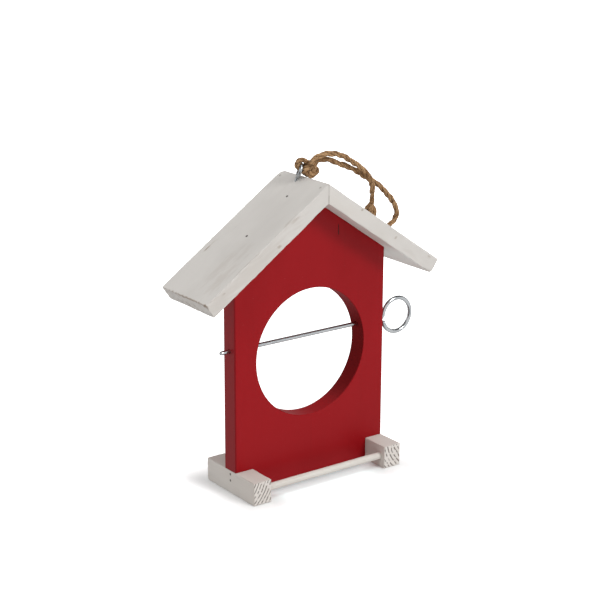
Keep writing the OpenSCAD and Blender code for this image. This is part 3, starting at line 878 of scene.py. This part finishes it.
def foot_block(name, node, paint, side, seed, heart, pitch):
    """Foot block. Its length runs along the first coordinate, to the back. On
    both ends the wash sinks into the soft wood between growth rings, which are
    circles about the heart, with x to the right and z up from the block's
    middle, one pitch apart. The grooves fade in and out along the rings."""
    half = np.array([FOOT_LEN, FOOT_W, FOOT_H]) / 2
    spots = [z - half[2] for z in FOOT_NAILS]
    lines = (ruled(half[0], 1.6, [0.0]), ruled(half[1], 0.42), ruled(half[2], 0.42, spots))

    def rubbed(p):
        """Radius of the rounding: 0.75 with two ripples."""
        r = 0.75 + 0.25 * ripple(p, 17.0, seed) + 0.2 * ripple(p, 5.0, seed + 1)
        return np.clip(r, 0.4, 1.5)

    sharp, p, out, edge, faces = block_skin(lines, rubbed)
    away = np.hypot(p[:, 1] * side - heart[0], p[:, 2] - heart[1])
    away = away + 0.3 * ripple(p * [0.2, 1, 1], 8.0, seed + 2)
    ring = 0.5 + 0.5 * np.cos(2 * np.pi * away / pitch)
    broken = step(ripple(p * [0.3, 1, 1], 3.6, seed + 3), -1.0, 0.1)
    on_end = step(np.abs(out[:, 0]), 0.75, 0.98)
    groove = step(ring, 0.7, 0.96) * broken * on_end
    fluff = 0.10 * ripple(p, 1.3, seed + 4) * on_end
    waver = 0.07 * ripple(p, 22.0, seed + 5) + 0.03 * ripple(p * [0.06, 1, 1], 2.0, seed + 6)
    p = p + out * (waver + fluff - 0.38 * groove)[:, None]
    pit = np.zeros(len(p))
    outer = sharp[:, 1] > half[1] - 1e-6
    for z in spots:
        d = np.hypot(p[:, 0], p[:, 2] - z)
        p[:, 1] -= outer * PIT_DEPTH * (1 - step(d, *PIT_WALL))
        pit = np.maximum(pit, outer * (1 - step(d, *PIT_SHADE)))
    grain = p * MM + [0.17 * seed, 0.05 * seed, 0.03 * seed]
    x = side * (BOARD_W / 2 - half[1] + p[:, 1])
    world = np.stack([x, p[:, 0], p[:, 2] + half[2]], 1)
    world[:, 2] = np.maximum(world[:, 2], 0)
    made = piece(
        name, world, faces, "house", "foot_wood", paint,
        grain=grain, edge=edge, pit=pit, groove=0.95 * groove, stain=0 * pit, end=on_end,
    )
    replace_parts(made, node)


def perch(name, node, paint, y, seed):
    """Dowel between the feet: a circle carried along x, a little uneven, with
    blobs of wash where it enters the blocks."""
    x = np.linspace(-PERCH_HALF, PERCH_HALF, 330)
    path = np.stack([x, np.full_like(x, y), np.full_like(x, PERCH_Z)], 1)
    up = np.tile([0.0, 0.0, 1.0], (len(x), 1))
    p = tube(path, up, np.full_like(x, PERCH_R - 0.06), 40)
    flat = p.reshape(-1, 3)
    out = flat - [0, y, PERCH_Z]
    out[:, 0] = 0
    thick = 0.05 * ripple(flat * [0.1, 1, 1], 3.0, seed) + 0.04 * ripple(flat, 12.0, seed + 1)
    seat = BOARD_W / 2 - FOOT_W
    blob = np.exp(-(((np.abs(flat[:, 0]) - seat + 0.2) / 0.9) ** 2))
    thick = thick + blob * (0.22 + 0.16 * ripple(flat, 2.5, seed + 2))
    flat = flat + out / PERCH_R * thick[:, None]
    points, faces, _, _ = joined([flat.reshape(p.shape)])
    scuff = step(ripple(flat * [0.3, 1, 1], 9.0, seed + 3), 0.5, 1.4)
    made = piece(
        name, points, faces, "house", "perch_wood", paint,
        grain=flat * MM + [0.2 * seed, 0, 0], edge=0.55 * scuff,
        pit=0 * scuff, groove=0 * scuff, stain=0.2 * scuff,
    )
    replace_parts(made, node)


def painted_pieces():
    """The wooden pieces and their paints."""
    roof_paint = white_wash("roof_wash", *ROOF_WASH, stain_share=0.55, streaks=0.35)
    foot_paint = white_wash("foot_wash", *FOOT_WASH, stain_share=0.35, streaks=0.4)
    perch_paint = white_wash("perch_wash", *PERCH_WASH, stain_share=0.3, streaks=0.45)
    roof_nails = [(x, -ROOF_SHIFT, 1.0) for x in ROOF_NAILS]
    ridge_nails = [(RIDGE_NAIL, y, 0.5) for y in (-RIDGE_NAIL_Y, RIDGE_NAIL_Y)]
    roof_board(
        "roof_left_wash", "roof_board_left", roof_paint, side=-1, seed=31,
        spots=roof_nails + ridge_nails, chips=LEFT_CHIPS, smears=LEFT_SMEARS,
    )
    roof_board(
        "roof_right_wash", "roof_board_right", roof_paint, side=1, seed=32,
        spots=roof_nails, chips=RIGHT_CHIPS, smears=RIGHT_SMEARS,
    )
    foot_block("foot_left_wash", "foot_left", foot_paint, -1, 41, heart=(-34.0, 20.0), pitch=2.9)
    foot_block("foot_right_wash", "foot_right", foot_paint, 1, 42, heart=(32.0, 19.0), pitch=3.2)
    perch("perch_front_dowel", "perch_front", perch_paint, y=-PERCH_Y, seed=51)
    perch("perch_rear_dowel", "perch_rear", perch_paint, y=PERCH_Y, seed=52)
    red, steel = red_paint(), dull_steel()
    finishes = {node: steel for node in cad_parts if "nails" in node}
    finishes |= {"house_board": red, "ridge_nails": wash_on_steel()}
    for node, finish in finishes.items():
        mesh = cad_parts[node].data
        mesh.materials.clear()
        mesh.materials.append(finish)


# Studio

# Dark cards that stand far round the object: the way to each card's middle, the
# angles from there at which it starts to fade and ends, and how dark it is. Then
# their colour and how far off they are
CARDS = [
    ([0.25, 0.2, 0.95], 50.0, 72.0, 0.9),
    ([-0.86, -0.35, -0.37], 25.0, 48.0, 0.9),
    ([0.565, 0.772, -0.291], 40.0, 85.0, 0.65),
]
CARD_DARK, CARDS_AWAY = (0.04, 0.04, 0.04, 1), 6.0

# Soft lamps: name, turn and height in degrees, width and depth in metres, watts.
# Then how far off they are, and how high the point is that they look at
LAMPS = [
    ("front_lamp", 20.0, 36.0, 1.2, 1.2, 68.0),
    ("top_lamp", 0.0, 74.0, 1.8, 1.6, 26.0),
]
LAMP_AWAY, AIM_Z = 4.0, 0.14

# Floor, in metres: how far its fine grid reaches from the middle, the lines of
# the coarse grid beyond it, and how far it lies under the feet
FLOOR_NEAR, FLOOR_FAR, FLOOR_DROP = 0.18, np.array([0.25, 0.5, 1.0, 4.0]), 0.0002
FLOOR_WHITE, FLOOR_BLUSH = (0.89, 0.89, 0.89, 1), (0.7, 0.89, 0.89, 1)

# Strength of the floor's glow against the feet, where it is low so that it paints
# a shadow, and a few centimetres off, and how much it gains far away. Then the
# sky's as plain light, in front and behind
GLOW_AT_FEET, GLOW_NEAR, GLOW_GAIN = 0.08, 0.7, 0.44
SKY_FRONT, SKY_BACK = 0.28, 0.76


def staged(name, points, faces, values):
    """Piece of the studio, in metres, with a number at each point, and the
    tree and shader of its matt material."""
    mesh = bpy.data.meshes.new(name)
    mesh.from_pydata(points.reshape(-1, 3).tolist(), [], faces.tolist())
    layer = mesh.attributes.new("value", "FLOAT", "POINT")
    layer.data.foreach_set("value", values.astype(np.float32).ravel())
    made = bpy.data.objects.new(name, mesh)
    bpy.context.scene.collection.objects.link(made)
    material, tree, shader = new_material(name, Roughness=0.9, Specular_IOR_Level=0.0)
    mesh.materials.append(material)
    return made, tree, shader


def floor():
    """White floor: a grid, closer near the object. It glows towards the camera,
    so that it shows white, and less so within a few centimetres of the feet and
    the board, where their shadow falls, which paints more shadow there. Its
    number is the distance to them. It is a little less red in front of the board,
    which throws red light on it."""
    near = np.linspace(-FLOOR_NEAR, FLOOR_NEAR, 145)
    lines = np.concatenate([-FLOOR_FAR[::-1], near, FLOOR_FAR])
    x, y = (v.ravel() for v in np.meshgrid(lines, lines, indexing="ij"))
    foot_x = (BOARD_W - FOOT_W) / 2 * MM
    half_foot = np.array([FOOT_W, FOOT_LEN]) / 2 * MM
    half_board = np.array([BOARD_W, BOARD_T]) / 2 * MM
    away = np.full_like(x, 1.0)
    for middle, half in ((-foot_x, half_foot), (foot_x, half_foot), (0.0, half_board)):
        gap = np.maximum(np.abs(np.stack([x - middle, y], 1)) - half, 0)
        away = np.minimum(away, np.linalg.norm(gap, axis=1))
    corners = np.stack([x, y, np.full_like(x, -FLOOR_DROP)], 1)
    made, tree, shader = staged("floor", corners, grid_faces(len(lines), len(lines)), away)
    made.visible_glossy = False
    place = add(tree, "SeparateXYZ", {0: add(tree, "TexCoord").outputs["Object"]})
    sideways = ramp(tree, size_of(tree, place.outputs[0]), 0.035, 0.066, 1.0, 0.0)
    blush = ramp(tree, size_of(tree, place.outputs[1]), 0.008, 0.06, 1.0, 0.0)
    blush = times(tree, blush, sideways)
    white = mixed(tree, blush, FLOOR_WHITE, FLOOR_BLUSH)
    tree.links.new(white, shader.inputs["Base Color"])
    gap = attribute(tree, "value")
    # Low glow against the feet and the board paints a soft shadow round them
    glow = ramp(tree, gap, 0.0, 0.035, GLOW_AT_FEET, GLOW_NEAR)
    glow = plus(tree, glow, ramp(tree, gap, 0.15, 0.7, 0.0, GLOW_GAIN))
    seen = add(tree, "LightPath").outputs["Is Camera Ray"]
    light = add(tree, "Emission", {"Strength": times(tree, seen, glow)})
    both = add(tree, "AddShader", {0: shader.outputs[0], 1: light.outputs[0]})
    tree.links.new(both.outputs[0], tree.nodes["Material Output"].inputs["Surface"])


def dark_cards():
    """Dark cards on a sphere round the object, which only gloss sees, to draw
    the edges of the wire. The sphere is clear where no card is."""
    turn = np.linspace(0, 2 * np.pi, 72, endpoint=False)[None]
    high = np.radians(np.linspace(-89, 89, 46))[:, None]
    way = [np.cos(high) * np.cos(turn), np.cos(high) * np.sin(turn), np.sin(high) + 0 * turn]
    way = np.stack(way, -1)
    dark = np.zeros(way.shape[:2])
    for middle, fades, ends, share in CARDS:
        near = way @ unit(np.array(middle))
        dark = np.maximum(dark, share * step(near, *np.cos(np.radians([ends, fades]))))
    points = CARDS_AWAY * way + [0, 0, AIM_Z]
    faces = grid_faces(*dark.shape, ringed=True)
    made, tree, shader = staged("dark_cards", points, faces, dark)
    shader.inputs["Base Color"].default_value = CARD_DARK
    clear = add(tree, "BsdfTransparent")
    sockets = {0: attribute(tree, "value"), 1: clear.outputs[0], 2: shader.outputs[0]}
    both = add(tree, "MixShader", sockets)
    tree.links.new(both.outputs[0], tree.nodes["Material Output"].inputs["Surface"])
    made.visible_camera = made.visible_diffuse = made.visible_shadow = False
    made.visible_transmission = False


def soft_lamp(name, turn, high, wide, tall, watts):
    """Soft lamp at these angles, which looks at the middle of the object."""
    lamp = bpy.data.lights.new(name, "AREA")
    lamp.shape, lamp.size, lamp.size_y, lamp.energy = "RECTANGLE", wide, tall, watts
    back, right = way_back(turn, high)
    placed(name, lamp, right, np.cross(back, right), back, [0, 0, AIM_Z] + LAMP_AWAY * back)


def studio():
    """White sky that shows as white, dimmer in front as plain light, a low soft
    lamp in front and one overhead."""
    world = bpy.data.worlds.new("studio")
    bpy.context.scene.world = world
    world.use_nodes = True
    tree = world.node_tree
    path = add(tree, "LightPath")
    seen = maths(tree, "MAXIMUM", path.outputs["Is Camera Ray"], path.outputs["Is Transmission Ray"])
    seen = maths(tree, "MAXIMUM", seen, path.outputs["Is Glossy Ray"])
    to_back = add(tree, "SeparateXYZ", {0: add(tree, "TexCoord").outputs["Generated"]}).outputs[1]
    soft = ramp(tree, to_back, -0.9, 0.05, SKY_FRONT, SKY_BACK)
    strength = add(tree, "Mix", {0: seen, 2: soft, 3: 1.0}).outputs[0]
    background = tree.nodes["Background"]
    background.inputs["Color"].default_value = (1, 1, 1, 1)
    tree.links.new(strength, background.inputs["Strength"])
    floor()
    dark_cards()
    for lamp in LAMPS:
        soft_lamp(*lamp)
    bpy.context.scene.view_settings.view_transform = "Standard"


aim_camera()
rope_pieces()
wire_pieces()
painted_pieces()
studio()
